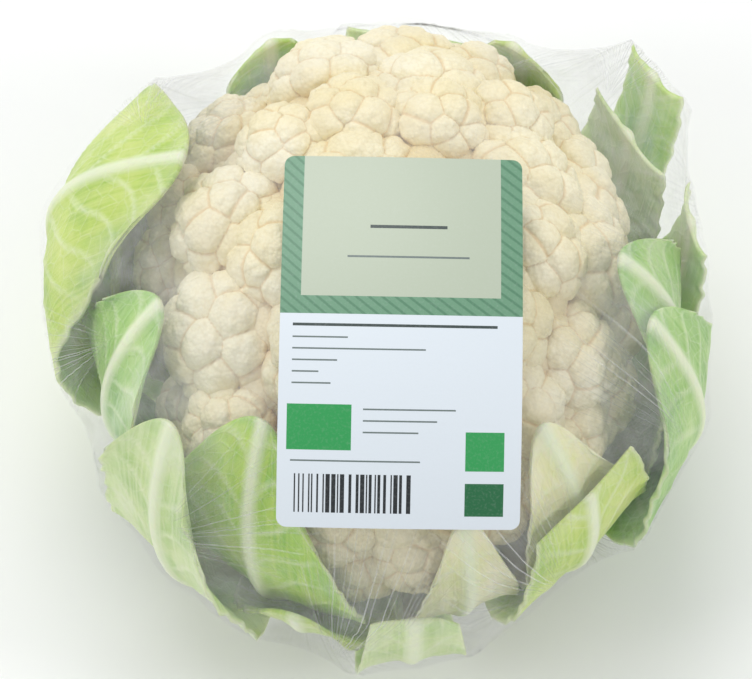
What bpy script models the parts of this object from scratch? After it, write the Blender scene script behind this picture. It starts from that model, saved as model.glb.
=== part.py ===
"""A cauliflower with trimmed leaves, wrapped in clear film with a blank paper label on it.

Metres, +Z up. The head stands on the cut face of its stem, whose middle is the origin.
The label faces the front, which is -Y, and up.
"""
import math
import random
from collections import namedtuple

import bmesh
import bpy
import numpy as np
from mathutils import Vector
from mathutils.bvhtree import BVHTree

# The head: the middle of the curd's dome, and the dome's half width, half depth and half height
CENTRE = Vector((0.0, 0.0, 0.062))
CURD_HALF = (0.069, 0.083, 0.057)
GAP = 0.0003

# The florets that show round the label, as its side shows them: right and up of the middle, radius
SEEN_FLORETS = (
    (-0.0400, 0.0201, 0.0150), (-0.0408, -0.0085, 0.0165), (-0.0385, -0.0325, 0.0125),
    (-0.0600, 0.0285, 0.0110), (-0.0590, 0.0110, 0.0105), (-0.0430, 0.0435, 0.0130),
    (-0.0270, 0.0405, 0.0115), (-0.0165, 0.0585, 0.0150), (0.0030, 0.0640, 0.0150),
    (-0.0095, 0.0475, 0.0125), (0.0125, 0.0475, 0.0120), (0.0295, 0.0475, 0.0125),
    (0.0225, 0.0620, 0.0120), (0.0430, 0.0520, 0.0130), (0.0530, 0.0375, 0.0130),
    (0.0485, 0.0245, 0.0170), (0.0370, 0.0135, 0.0130), (0.0545, -0.0015, 0.0150),
    (0.0500, -0.0225, 0.0165), (-0.0060, -0.0645, 0.0115), (0.0090, -0.0605, 0.0115),
)

# The rest of the florets that the curd is made of, by the golden angle
GOLDEN_ANGLE = math.radians(137.508)
FLORET_SEED = 13
FLORETS = 52
FLORET_REACH = math.radians(104)
FLORET_RADIUS = (0.0130, 0.0185)
FLORET_JITTER = 0.07
FLORET_STEP = 0.0022
FLORET_APART = 0.0165
FLORET_DETAIL = 3
CURD_KEPT = 0.78
BUMPS = 24
BUMP_REACH = math.radians(34)
BUMP_DEPTH = 0.28
BUMP_JITTER = 0.12
CORE_SHARE = 0.80
CORE_FLATTENED = 0.38
NECK_RADIUS = 0.022
NECK_TOP_RADIUS = 0.042
NECK_TOP = 0.058

# The stem, a stump with leaf scars up its side
STEM_HEIGHT = 0.034
STEM_FACE_RADIUS = 0.0205
STEM_RADIUS = 0.0235
STEM_SIDES = 24
SCAR_DEPTH = 0.0006

# The leaves, in three turns from the curd out: each turn's distance from the dome and height at the stem,
# then the stalk, the rib, the blade's outline, and how its middle arches off the head
TURN_OFFSET = (0.0016, 0.0068, 0.0120)
TURN_ROOT = (0.0295, 0.0210, 0.0125)
SHOULDER = math.radians(-25)
STALK_OUT = (0.022, -0.0005)
STALK_RISE = 0.018
ARC_PER_STEP = math.radians(60)
STALK_HALF_WIDTH = 0.0095
RIB_ROOT = 0.0052
RIB_TIP = 0.0022
RIB_HALF_WIDTH = (0.0068, 0.0026)
RIB_NARROW_AT = 0.7
BLADE = 0.0010
LEAF_ROWS = 10
LEAF_COLUMNS = (-1.0, -0.62, -0.24, 0.0, 0.24, 0.62, 1.0)
STALK_SHARE = 0.16
WIDEST = 0.62
WIDEST_REACH = 0.074
CUT_TAPER = 0.22
ROUND_END = 0.82
ROUND_CORNER = 0.13
ROUND_FROM = 0.5
WAVE_SKEW = 1.5
ARCH_FROM = 0.35
ARCH_AT_MARGIN = 0.30

Leaf = namedtuple("Leaf", "name turn azimuth reach half_width lean flare curl wave waves arch cut colour")

# Angles in degrees, 180 to the left, 270 to the front; reach is the tip's height angle on the dome
LEAVES = (
    Leaf("leaf_inner_left", 0, 163, 11, 0.029, -6, 0.0010, 0.0008, 0.0006, 3, 0.0000, False, "lime"),
    Leaf("leaf_inner_front_left", 0, 250, 40, 0.027, -9, 0.0004, 0.0006, 0.0006, 3, 0.0000, False, "bright"),
    Leaf("leaf_inner_front", 0, 284, 24, 0.0145, 0, 0.0006, 0.0006, 0.0006, 3, 0.0000, False, "blanched"),
    Leaf("leaf_inner_front_right", 0, 312, 35, 0.019, -7, 0.0004, 0.0006, 0.0006, 3, 0.0000, False, "blanched"),
    Leaf("leaf_inner_back_right", 0, 62, 19, 0.018, 2, 0.0004, 0.0006, 0.0006, 3, 0.0000, False, "lime"),
    Leaf("leaf_inner_back", 0, 111, 15, 0.018, 2, 0.0004, 0.0006, 0.0006, 3, 0.0000, False, "bright"),
    Leaf("leaf_left", 1, 203, 38, 0.026, -2, -0.0010, 0.0010, 0.0008, 3, 0.0000, False, "green"),
    Leaf("leaf_front_low", 1, 255, -4, 0.022, 0, 0.0010, 0.0008, 0.0008, 2, 0.0000, False, "lime"),
    Leaf("leaf_front_right", 1, 307, 15, 0.023, 1, 0.0002, 0.0008, 0.0008, 3, 0.0000, True, "lime"),
    Leaf("leaf_right", 1, 352, 39, 0.028, -1, -0.0008, 0.0006, 0.0008, 3, 0.0000, False, "green"),
    Leaf("leaf_back_right", 1, 35, 8, 0.020, 2, 0.0010, 0.0010, 0.0008, 3, 0.0000, True, "pale"),
    Leaf("leaf_back", 1, 83, -4, 0.027, 0, 0.0010, 0.0010, 0.0008, 3, 0.0000, True, "pale"),
    Leaf("leaf_back_left", 1, 137, -8, 0.030, 2, 0.0010, 0.0010, 0.0008, 3, 0.0000, False, "green"),
    Leaf("leaf_outer_left", 2, 168, 43, 0.041, -9, -0.0075, 0.0010, 0.0014, 3, 0.0115, False, "lime"),
    Leaf("leaf_outer_front_left", 2, 234, 31, 0.024, -8, 0.0010, 0.0010, 0.0012, 3, 0.0000, False, "pale"),
    Leaf("leaf_outer_front", 2, 274, 6, 0.014, 0, -0.0010, 0.0010, 0.0012, 2, 0.0000, True, "pale"),
    Leaf("leaf_outer_right", 2, 338, 30, 0.028, 2, -0.0020, 0.0006, 0.0012, 3, 0.0040, False, "green"),
    Leaf("leaf_outer_right_end", 2, 13, 9, 0.014, 1, 0.0010, 0.0010, 0.0008, 2, 0.0000, True, "pale"),
    Leaf("leaf_outer_back_right", 2, 40, 15, 0.012, 0, 0.0095, 0.0010, 0.0006, 2, 0.0000, True, "bright"),
)

# The film: how far it stays off what it wraps, its wall, and the hole round the stem's butt
FILM_WALL = 0.0006
FILM_CLEARANCE = 0.0008
FILM_DETAIL = 4
FILM_NEAR = 1.2
FILM_HOLE = math.radians(27)
FILM_FLOOR = 0.0010
FILM_UNDER = -0.3
FILM_START = 0.01
FILM_PULLS = 300

# The label: half width, half height, thickness, corner radius, and where it faces
LABEL_HALF = (0.0297, 0.0457)
LABEL_THICKNESS = 0.0004
LABEL_CORNER = 0.0024
LABEL_ELEVATION = math.radians(60)
LABEL_SHIFT = (0.0034, -0.0083)
LABEL_CELLS = (6, 9)
LABEL_START = 0.10
LABEL_PROBE = 0.001
LABEL_GAP = 0.0010
LABEL_TILT = math.radians(-1.0)

COLOURS = {
    "curd": ("#EFE3C4", 0.62),
    "stem": ("#DDE2B8", 0.55),
    "lime": ("#B4CB5C", 0.45),
    "bright": ("#8FC24C", 0.45),
    "green": ("#6FA447", 0.48),
    "pale": ("#BFD08A", 0.50),
    "blanched": ("#E9E7B4", 0.50),
    "label": ("#E9F0EE", 0.45),
}
FILM_COLOUR = ("#F4F7F5", 0.12)
FILM_ALPHA = 0.25


def clear_scene():
    """Take every object out of the scene that the file opened with."""
    for thing in list(bpy.data.objects):
        bpy.data.objects.remove(thing, do_unlink=True)


def linear(code):
    """Turn a hex colour as seen on a screen into linear red, green, blue and alpha."""
    parts = [int(code[i:i + 2], 16) / 255 for i in (1, 3, 5)]
    return [c / 12.92 if c <= 0.04045 else ((c + 0.055) / 1.055) ** 2.4 for c in parts] + [1.0]


def material(name, code, roughness, alpha=1.0):
    """Make a plain material with a colour and a roughness."""
    made = bpy.data.materials.new(name)
    made.use_nodes = True
    shader = made.node_tree.nodes["Principled BSDF"]
    shader.inputs["Base Color"].default_value = linear(code)
    shader.inputs["Roughness"].default_value = roughness
    shader.inputs["Metallic"].default_value = 0.0
    shader.inputs["Alpha"].default_value = alpha
    return made


def add_object(name, vertices, faces, made_of=None, collection=None):
    """Make an object from points and faces, with its normals facing out."""
    mesh = bpy.data.meshes.new(name)
    mesh.from_pydata([tuple(v) for v in vertices], [], [tuple(f) for f in faces])
    work = bmesh.new()
    work.from_mesh(mesh)
    bmesh.ops.recalc_face_normals(work, faces=work.faces)
    work.to_mesh(mesh)
    work.free()
    thing = bpy.data.objects.new(name, mesh)
    if made_of:
        mesh.materials.append(made_of)
    (collection or bpy.context.scene.collection).objects.link(thing)
    return thing


def icosphere(detail):
    """Return the unit directions and the triangles of an icosphere."""
    work = bmesh.new()
    bmesh.ops.create_icosphere(work, subdivisions=detail, radius=1.0)
    directions = np.array([v.co for v in work.verts])
    triangles = np.array([[v.index for v in f.verts] for f in work.faces])
    work.free()
    return directions / np.linalg.norm(directions, axis=1, keepdims=True), triangles


def golden_directions(count, reach, axis, rng, jitter):
    """Spread directions evenly over a cap round an axis, by the golden angle, each a little off its place."""
    turn = Vector((0, 0, 1)).rotation_difference(axis)
    spread = []
    for k in range(count):
        height = 1 - (1 - math.cos(reach)) * (k + 0.5) / count
        flat = math.sqrt(1 - height ** 2)
        angle = k * GOLDEN_ANGLE
        direction = Vector((flat * math.cos(angle), flat * math.sin(angle), height))
        direction += Vector([rng.uniform(-jitter, jitter) for _ in range(3)])
        spread.append(turn @ direction.normalized())
    return spread


def seen_place(right, up, radius):
    """Return the middle and the outward direction of a floret, from where the label's side shows it."""
    inner = [half - radius for half in CURD_HALF]
    across, along, out = label_frame()
    flat = across * right + along * up
    square = sum((out[i] / inner[i]) ** 2 for i in range(3))
    cross = sum(out[i] * flat[i] / inner[i] ** 2 for i in range(3))
    excess = sum((flat[i] / inner[i]) ** 2 for i in range(3)) - 1
    middle = flat + out * (math.sqrt(max(cross ** 2 - square * excess, 0)) - cross) / square
    middle /= math.sqrt(sum((middle[i] / inner[i]) ** 2 for i in range(3)))
    outward = Vector([middle[i] / inner[i] ** 2 for i in range(3)]).normalized()
    return CENTRE + middle, outward


def floret_places():
    """Return the middle, the outward direction and the radius of each floret on the dome."""
    rng = random.Random(FLORET_SEED)
    places = [(*seen_place(*seen), seen[2]) for seen in SEEN_FLORETS]
    seen = len(places)
    for direction in golden_directions(FLORETS, FLORET_REACH, Vector((0, 0, 1)), rng, FLORET_JITTER):
        radius = rng.uniform(*FLORET_RADIUS)
        tip = Vector([direction[i] * CURD_HALF[i] for i in range(3)])
        outward = Vector([direction[i] / CURD_HALF[i] for i in range(3)]).normalized()
        middle = CENTRE + tip - outward * (radius + rng.uniform(0, FLORET_STEP))
        if all((middle - place[0]).length > FLORET_APART for place in places[:seen]):
            places.append((middle, outward, radius))
    return places


def bump_heights(directions, centres):
    """Return how high each direction stands on the nearest of the round bumps, from 0 to 1."""
    nearest = np.max(directions @ np.array(centres).T, axis=1)
    angle = np.arccos(np.clip(nearest, -1, 1))
    return np.sqrt(np.clip(1 - (angle / BUMP_REACH) ** 2, 0, 1))


def add_florets(collection):
    """Make each floret as a ball raised into bumps."""
    rng = random.Random(FLORET_SEED + 1)
    directions, triangles = icosphere(FLORET_DETAIL)
    for k, (middle, outward, radius) in enumerate(floret_places()):
        centres = golden_directions(BUMPS, math.pi, outward, rng, BUMP_JITTER)
        heights = bump_heights(directions, centres)
        lengths = radius * (1 - BUMP_DEPTH + BUMP_DEPTH * heights)
        points = directions * lengths[:, None] + np.array(middle)
        add_object(f"floret_{k}", points, triangles, collection=collection)


def add_neck(collection):
    """Make the short thick stalk under the curd, widening into it."""
    work = bmesh.new()
    bmesh.ops.create_cone(work, cap_ends=True, segments=STEM_SIDES, radius1=NECK_RADIUS,
                          radius2=NECK_TOP_RADIUS, depth=NECK_TOP - STEM_HEIGHT - GAP)
    bmesh.ops.translate(work, verts=work.verts, vec=(0, 0, (NECK_TOP + STEM_HEIGHT + GAP) / 2))
    mesh = bpy.data.meshes.new("neck")
    work.to_mesh(mesh)
    work.free()
    collection.objects.link(bpy.data.objects.new("neck", mesh))


def fill_hollows(mesh):
    """Keep the one outer skin of a fused mesh, which fills any hollow sealed inside it."""
    work = bmesh.new()
    work.from_mesh(mesh)
    bmesh.ops.remove_doubles(work, verts=work.verts, dist=0.00005)
    bmesh.ops.dissolve_degenerate(work, edges=work.edges, dist=0.00002)
    bmesh.ops.triangulate(work, faces=work.faces)
    left = set(work.verts)
    skins = []
    while left:
        skin = set()
        edge = [next(iter(left))]
        while edge:
            vertex = edge.pop()
            if vertex in skin:
                continue
            skin.add(vertex)
            edge.extend(e.other_vert(vertex) for e in vertex.link_edges)
        left -= skin
        skins.append(skin)
    outer = max(skins, key=len)
    bmesh.ops.delete(work, geom=[v for v in work.verts if v not in outer], context="VERTS")
    work.to_mesh(mesh)
    work.free()


def add_curd(made_of):
    """Fuse the florets, the core that they stand out of and the neck into one body."""
    directions, triangles = icosphere(FLORET_DETAIL)
    core = directions * np.array(CURD_HALF) * CORE_SHARE
    core[:, 2] *= np.where(core[:, 2] < 0, CORE_FLATTENED, 1.0)
    core += np.array(CENTRE)
    curd = add_object("curd", core, triangles, made_of)
    pieces = bpy.data.collections.new("florets")
    bpy.context.scene.collection.children.link(pieces)
    add_florets(pieces)
    add_neck(pieces)
    fuse = curd.modifiers.new("fuse", "BOOLEAN")
    fuse.operation = "UNION"
    fuse.operand_type = "COLLECTION"
    fuse.collection = pieces
    fuse.solver = "EXACT"
    with bpy.context.temp_override(object=curd, active_object=curd):
        bpy.ops.object.modifier_apply(modifier="fuse")
    for piece in list(pieces.objects):
        bpy.data.objects.remove(piece, do_unlink=True)
    bpy.data.collections.remove(pieces)
    fill_hollows(curd.data)
    plainer = curd.modifiers.new("plainer", "DECIMATE")
    plainer.ratio = CURD_KEPT
    return curd


def add_stem(made_of):
    """Make the stump: a flat cut face, a rounded edge and a side with slight leaf scars."""
    rings = ((STEM_FACE_RADIUS, 0.0), (STEM_RADIUS - 0.0008, 0.0022), (STEM_RADIUS, 0.006),
             (STEM_RADIUS, 0.014), (STEM_RADIUS - 0.0004, 0.024), (NECK_RADIUS, STEM_HEIGHT))
    vertices = []
    for level, (radius, height) in enumerate(rings):
        for k in range(STEM_SIDES):
            angle = math.tau * k / STEM_SIDES
            scar = SCAR_DEPTH * math.sin(5 * angle + 2 * level) if 0 < level < len(rings) - 1 else 0
            vertices.append(((radius + scar - SCAR_DEPTH) * math.cos(angle),
                             (radius + scar - SCAR_DEPTH) * math.sin(angle), height))
    faces = [list(range(STEM_SIDES))]
    for level in range(len(rings) - 1):
        low = level * STEM_SIDES
        for k in range(STEM_SIDES):
            after = (k + 1) % STEM_SIDES
            faces.append((low + k, low + after, low + STEM_SIDES + after, low + STEM_SIDES + k))
    top = (len(rings) - 1) * STEM_SIDES
    faces.append([top + k for k in range(STEM_SIDES)])
    return add_object("stem", vertices, faces, made_of)


def smooth(x):
    """Ease from 0 to 1."""
    x = min(max(x, 0.0), 1.0)
    return x * x * (3 - 2 * x)


def side_of_head(step, azimuth, turn):
    """Return the distance out, the height and the outward slope of a turn's path up the head's side.

    The path runs out from the stem for steps 0 to 1, and then up round the dome.
    """
    across = 1 / math.hypot(math.cos(azimuth) / CURD_HALF[0], math.sin(azimuth) / CURD_HALF[1])
    wide = across + TURN_OFFSET[turn]
    tall = CURD_HALF[2] + TURN_OFFSET[turn]
    if step > 1:
        angle = SHOULDER + (step - 1) * ARC_PER_STEP
        point = Vector((wide * math.cos(angle), CENTRE.z + tall * math.sin(angle)))
        along = Vector((-wide * math.sin(angle), tall * math.cos(angle)))
    else:
        start = Vector((STEM_RADIUS + GAP, TURN_ROOT[turn]))
        end = Vector((wide * math.cos(SHOULDER), CENTRE.z + tall * math.sin(SHOULDER)))
        rise = Vector((-wide * math.sin(SHOULDER), tall * math.cos(SHOULDER))).normalized()
        first = start + Vector(STALK_OUT)
        second = end - rise * STALK_RISE
        back = 1 - step
        point = (start * back ** 3 + first * 3 * back ** 2 * step
                 + second * 3 * back * step ** 2 + end * step ** 3)
        along = ((first - start) * back ** 2 + (second - first) * 2 * back * step
                 + (end - second) * step ** 2)
    along.normalize()
    return point, Vector((along.y, -along.x))


def half_width(leaf, share):
    """Return a leaf's half width at a share of its length: a stalk, a wide blade, and a round or cut end."""
    blade = smooth((share - STALK_SHARE) / (WIDEST - STALK_SHARE))
    width = STALK_HALF_WIDTH + (leaf.half_width - STALK_HALF_WIDTH) * blade
    past = max(share - WIDEST, 0) / (1 - WIDEST)
    if leaf.cut:
        return width * (1 - CUT_TAPER * past ** 2)
    return width * math.sqrt(1 - (ROUND_END * past) ** 2)


def leaf_point(leaf, share, column):
    """Return the inner and the outer point of a leaf at a share of its length and a place across it."""
    last = 1 + (math.radians(leaf.reach) - SHOULDER) / ARC_PER_STEP
    width = half_width(leaf, share)
    rounding = 0 if leaf.cut else ROUND_CORNER * column ** 2 * smooth((share - ROUND_FROM) / (1 - ROUND_FROM))
    step = share * last * (1 - rounding)
    axis = math.radians(leaf.azimuth + leaf.lean * share ** 2)
    reach_out = side_of_head(step, axis, leaf.turn)[0].x
    azimuth = axis + column * min(width / reach_out, leaf.half_width / WIDEST_REACH)
    point, outward = side_of_head(step, azimuth, leaf.turn)
    phase = math.tau * (leaf.waves * share + leaf.azimuth / 90)
    lift = leaf.flare * share ** 4 + leaf.curl * (column * smooth(share / WIDEST)) ** 4
    lift += leaf.wave * column ** 2 * smooth(share / WIDEST) * (1 + math.sin(phase + WAVE_SKEW * column))
    arched = math.sin(math.pi * smooth((share - ARCH_FROM) / (1 - ARCH_FROM)))
    lift += leaf.arch * arched * (1 - (1 - ARCH_AT_MARGIN) * column ** 2)
    rib = RIB_ROOT + (RIB_TIP - RIB_ROOT) * smooth(share)
    rib_width = RIB_HALF_WIDTH[0] + (RIB_HALF_WIDTH[1] - RIB_HALF_WIDTH[0]) * smooth(share / RIB_NARROW_AT)
    thickness = BLADE + (rib - BLADE) * math.exp(-(column * width / rib_width) ** 2)
    points = []
    for distance in (lift, lift + thickness):
        flat = point + outward * distance
        points.append((flat.x * math.cos(azimuth), flat.x * math.sin(azimuth), flat.y))
    return points


def add_leaf(leaf, made_of):
    """Make a leaf as a closed blade, thick along its rib."""
    columns = len(LEAF_COLUMNS)
    inner, outer = [], []
    for row in range(LEAF_ROWS + 1):
        for column in LEAF_COLUMNS:
            near, far = leaf_point(leaf, row / LEAF_ROWS, column)
            inner.append(near)
            outer.append(far)
    count = len(inner)
    faces = []
    for row in range(LEAF_ROWS):
        for k in range(columns - 1):
            a, b = row * columns + k, row * columns + k + 1
            c, d = a + columns, b + columns
            if LEAF_COLUMNS[k] < 0:
                halves = ((a, b, c), (b, d, c))
            else:
                halves = ((a, b, d), (a, d, c))
            for skin in (0, count):
                faces += [[corner + skin for corner in half] for half in halves]
    rim = list(range(columns))
    rim += [row * columns + columns - 1 for row in range(1, LEAF_ROWS + 1)]
    rim += [LEAF_ROWS * columns + k for k in range(columns - 2, -1, -1)]
    rim += [row * columns for row in range(LEAF_ROWS - 1, 0, -1)]
    for here, after in zip(rim, rim[1:] + rim[:1]):
        faces.append((here, after, after + count))
        faces.append((here, after + count, here + count))
    return add_object(leaf.name, inner + outer, faces, made_of)


def tree_of(things):
    """Return one search tree over the triangles of some objects."""
    vertices, faces = [], []
    for thing in things:
        start = len(vertices)
        vertices.extend(v.co.copy() for v in thing.data.vertices)
        faces.extend([start + i for i in face.vertices] for face in thing.data.polygons)
    return BVHTree.FromPolygons(vertices, faces)


def wrapped_radius(things, directions):
    """Return how far out the wrapped things reach in and near each direction."""
    points = np.array([v.co - CENTRE for thing in things for v in thing.data.vertices])
    reach = np.linalg.norm(points, axis=1)
    near = math.cos(FILM_NEAR * math.sqrt(4 * math.pi / len(directions)))
    close = directions @ (points / reach[:, None]).T > near
    return np.max(np.where(close, reach, 0.0), axis=1)


def neighbour_means(count, triangles):
    """Return a function that averages each point's neighbours along the triangles' edges."""
    pairs = np.concatenate([triangles[:, [0, 1]], triangles[:, [1, 2]], triangles[:, [2, 0]]])
    pairs = np.unique(np.concatenate([pairs, pairs[:, ::-1]]), axis=0)
    number = np.bincount(pairs[:, 0], minlength=count)[:, None]

    def means(points):
        total = np.zeros_like(points)
        np.add.at(total, pairs[:, 0], points[pairs[:, 1]])
        return total / number
    return means


def film_radii(things, directions, triangles):
    """Pull the film tight over the wrapped things, and under them to the hole round the stem's butt."""
    floor = (CENTRE.z - FILM_FLOOR) / np.clip(-directions[:, 2], 1e-6, None)
    least = wrapped_radius(things, directions) + FILM_CLEARANCE + FILM_WALL
    in_hole = directions[:, 2] < -math.cos(FILM_HOLE)
    least[in_hole] = floor[in_hole]
    least = np.minimum(least, np.where(directions[:, 2] < FILM_UNDER, floor, 1.0))
    radii = least + FILM_START
    means = neighbour_means(len(directions), triangles)
    for _ in range(FILM_PULLS):
        pulled = np.sum(means(directions * radii[:, None]) * directions, axis=1)
        radii = np.maximum(least, pulled)
    return radii


def add_film(things, made_of):
    """Make the wrap as a closed thin wall with a hole under the stem."""
    directions, triangles = icosphere(FILM_DETAIL)
    radii = film_radii(things, directions, triangles)
    kept = [t for t in triangles if directions[t][:, 2].min() > -math.cos(FILM_HOLE)]
    used = sorted({i for t in kept for i in t})
    place = {i: k for k, i in enumerate(used)}
    outer = [CENTRE + Vector(directions[i]) * radii[i] for i in used]
    inner = [CENTRE + Vector(directions[i]) * (radii[i] - FILM_WALL) for i in used]
    faces = [[place[i] for i in t] for t in kept]
    sides = {}
    for face in faces:
        for here, after in zip(face, face[1:] + face[:1]):
            sides[(here, after)] = sides.get((here, after), 0) + 1
    rim = [(here, after) for (here, after) in sides if (after, here) not in sides]
    count = len(used)
    faces += [[i + count for i in reversed(face)] for face in faces]
    for here, after in rim:
        faces.append([after, here, here + count])
        faces.append([after, here + count, after + count])
    return add_object("film", outer + inner, faces, made_of)


def rounded(x, y):
    """Move the corner points of the label's grid in onto its round corners."""
    wide, tall = LABEL_HALF
    if abs(x) < wide - 1e-9 or abs(y) < tall - 1e-9:
        return x, y
    cut = LABEL_CORNER * (1 - math.sqrt(0.5))
    return math.copysign(wide - cut, x), math.copysign(tall - cut, y)


def label_grid():
    """Return the label's flat grid points, with a narrow first and last cell for the corners."""
    across = list(np.linspace(-LABEL_HALF[0] + LABEL_CORNER, LABEL_HALF[0] - LABEL_CORNER, LABEL_CELLS[0] - 1))
    along = list(np.linspace(-LABEL_HALF[1] + LABEL_CORNER, LABEL_HALF[1] - LABEL_CORNER, LABEL_CELLS[1] - 1))
    across = [-LABEL_HALF[0]] + across + [LABEL_HALF[0]]
    along = [-LABEL_HALF[1]] + along + [LABEL_HALF[1]]
    return [rounded(x, y) for y in along for x in across]


def label_frame():
    """Return the directions across, up and out of the label."""
    out = Vector((0, -math.cos(LABEL_ELEVATION), math.sin(LABEL_ELEVATION)))
    across = Vector((1, 0, 0)) * math.cos(LABEL_TILT) + out.cross(Vector((1, 0, 0))) * math.sin(LABEL_TILT)
    return across, out.cross(across), out


def curved(points):
    """Return the terms of a gently curved surface at each flat point."""
    x, y = np.array(points).T
    return np.stack([np.ones_like(x), x, y, x * x, x * y, y * y], axis=1)


def label_heights(film, points):
    """Lay the label on the film as one gently curved sheet that clears every bump of it."""
    tree = tree_of([film])
    across, up, out = label_frame()
    probes, found = [], []
    for x in np.arange(-LABEL_HALF[0], LABEL_HALF[0] + LABEL_PROBE, LABEL_PROBE):
        for y in np.arange(-LABEL_HALF[1], LABEL_HALF[1] + LABEL_PROBE, LABEL_PROBE):
            start = CENTRE + across * (x + LABEL_SHIFT[0]) + up * (y + LABEL_SHIFT[1])
            distance = tree.ray_cast(start + out * LABEL_START, -out)[3]
            probes.append((x, y))
            found.append(LABEL_START - distance)
    fit = np.linalg.lstsq(curved(probes), np.array(found), rcond=None)[0]
    bump = np.max(np.array(found) - curved(probes) @ fit)
    return curved(points) @ fit + bump + LABEL_GAP


def add_label(film, made_of):
    """Make the label as a thin sheet that follows the film."""
    points = label_grid()
    heights = label_heights(film, points)
    across, up, out = label_frame()
    low, high = [], []
    for (x, y), height in zip(points, heights):
        flat = CENTRE + across * (x + LABEL_SHIFT[0]) + up * (y + LABEL_SHIFT[1])
        low.append(flat + out * height)
        high.append(flat + out * (height + LABEL_THICKNESS))
    columns, rows, count = LABEL_CELLS[0] + 1, LABEL_CELLS[1] + 1, len(points)
    faces = []
    for row in range(rows - 1):
        for k in range(columns - 1):
            a = row * columns + k
            for skin in (0, count):
                faces.append((a + skin, a + 1 + skin, a + columns + 1 + skin))
                faces.append((a + skin, a + columns + 1 + skin, a + columns + skin))
    rim = list(range(columns))
    rim += [row * columns + columns - 1 for row in range(1, rows)]
    rim += [(rows - 1) * columns + k for k in range(columns - 2, -1, -1)]
    rim += [row * columns for row in range(rows - 2, 0, -1)]
    for here, after in zip(rim, rim[1:] + rim[:1]):
        faces.append((here, after, after + count))
        faces.append((here, after + count, here + count))
    return add_object("label", low + high, faces, made_of)


def main():
    """Build the cauliflower, its wrap and its label."""
    clear_scene()
    made_of = {name: material(name, *look) for name, look in COLOURS.items()}
    made_of["film"] = material("film", *FILM_COLOUR, alpha=FILM_ALPHA)
    wrapped = [add_stem(made_of["stem"]), add_curd(made_of["curd"])]
    wrapped += [add_leaf(leaf, made_of[leaf.colour]) for leaf in LEAVES]
    film = add_film(wrapped, made_of["film"])
    add_label(film, made_of["label"])


main()
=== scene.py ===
# %% [markdown]
# # A cauliflower in clear wrap
#
# The real thing is a whole head: a cream curd of crowded florets, thick-ribbed leaves trimmed level
# with it, a stump of stem, and one sheet of clear film pulled tight over all of it, with a paper label.
# The imported model gives the places and sizes. Each piece below is a finer one that stands where its
# solid stands, so this file first loads that model.

# %% Load the imported model
import math
import random

import bpy
import numpy as np
from mathutils import Matrix, Vector
from mathutils.bvhtree import BVHTree


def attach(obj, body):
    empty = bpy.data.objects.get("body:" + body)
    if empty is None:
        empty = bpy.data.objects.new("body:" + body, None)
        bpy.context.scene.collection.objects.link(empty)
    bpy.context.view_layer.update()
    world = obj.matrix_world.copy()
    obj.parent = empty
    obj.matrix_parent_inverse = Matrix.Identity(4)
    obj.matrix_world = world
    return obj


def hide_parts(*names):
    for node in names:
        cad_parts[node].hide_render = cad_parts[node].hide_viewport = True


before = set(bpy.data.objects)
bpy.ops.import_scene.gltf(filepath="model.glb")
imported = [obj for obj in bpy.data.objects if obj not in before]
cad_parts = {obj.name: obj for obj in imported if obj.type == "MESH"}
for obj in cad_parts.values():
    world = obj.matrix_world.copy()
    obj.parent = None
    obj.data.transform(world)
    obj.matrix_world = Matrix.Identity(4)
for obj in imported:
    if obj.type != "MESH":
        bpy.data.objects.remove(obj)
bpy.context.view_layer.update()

# %% [markdown]
# ## The view
#
# The head was seen from high up in front, square on to the label. A long lens far away gives the flat,
# undistorted look of a product picture. The camera is turned about X alone, so level stays level.

# %% The camera
CENTRE = Vector((0.0, 0.0, 0.062))
VIEW_ELEVATION = math.radians(60)
VIEW_DISTANCE = 0.9
VIEW_LENS = 163.7
VIEW_AIM = (-0.0029, -0.0081)

view_out = Vector((0, -math.cos(VIEW_ELEVATION), math.sin(VIEW_ELEVATION)))
view_up = Vector((0, math.sin(VIEW_ELEVATION), math.cos(VIEW_ELEVATION)))
aim = CENTRE + Vector((VIEW_AIM[0], 0, 0)) + view_up * VIEW_AIM[1]
bpy.ops.object.camera_add(location=aim + view_out * VIEW_DISTANCE, rotation=(math.pi / 2 - VIEW_ELEVATION, 0, 0))
camera = bpy.context.object
camera.data.lens = VIEW_LENS
bpy.context.scene.camera = camera
print("camera at", [round(c, 3) for c in camera.location])

# %% [markdown]
# ## Finishes are made of nodes
#
# Every finish here is procedural. One helper adds a node with its settings and what feeds it, so that
# each material below reads as a list of what the surface has. Colours are written as seen on a screen
# and turned to linear light by one function.


# %% Helpers for materials
def linear(code):
    """Turn a hex colour as seen on a screen into linear red, green, blue and alpha."""
    parts = [int(code[i:i + 2], 16) / 255 for i in (1, 3, 5)]
    return [c / 12.92 if c <= 0.04045 else ((c + 0.055) / 1.055) ** 2.4 for c in parts] + [1.0]


def add_node(tree, kind, inputs=None, **settings):
    """Add a node with its settings; a socket given as an input is linked, anything else is set."""
    node = tree.nodes.new(kind)
    for name, value in settings.items():
        setattr(node, name, value)
    for name, value in (inputs or {}).items():
        if isinstance(value, bpy.types.NodeSocket):
            tree.links.new(value, node.inputs[name])
        else:
            node.inputs[name].default_value = value
    return node


def new_material(name, roughness):
    """Start a material and return it with its node tree and its shader."""
    made = bpy.data.materials.new(name)
    made.use_nodes = True
    shader = made.node_tree.nodes["Principled BSDF"]
    shader.inputs["Roughness"].default_value = roughness
    return made, made.node_tree, shader


MIX_A, MIX_B, MIX_RESULT = 6, 7, 2


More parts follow.
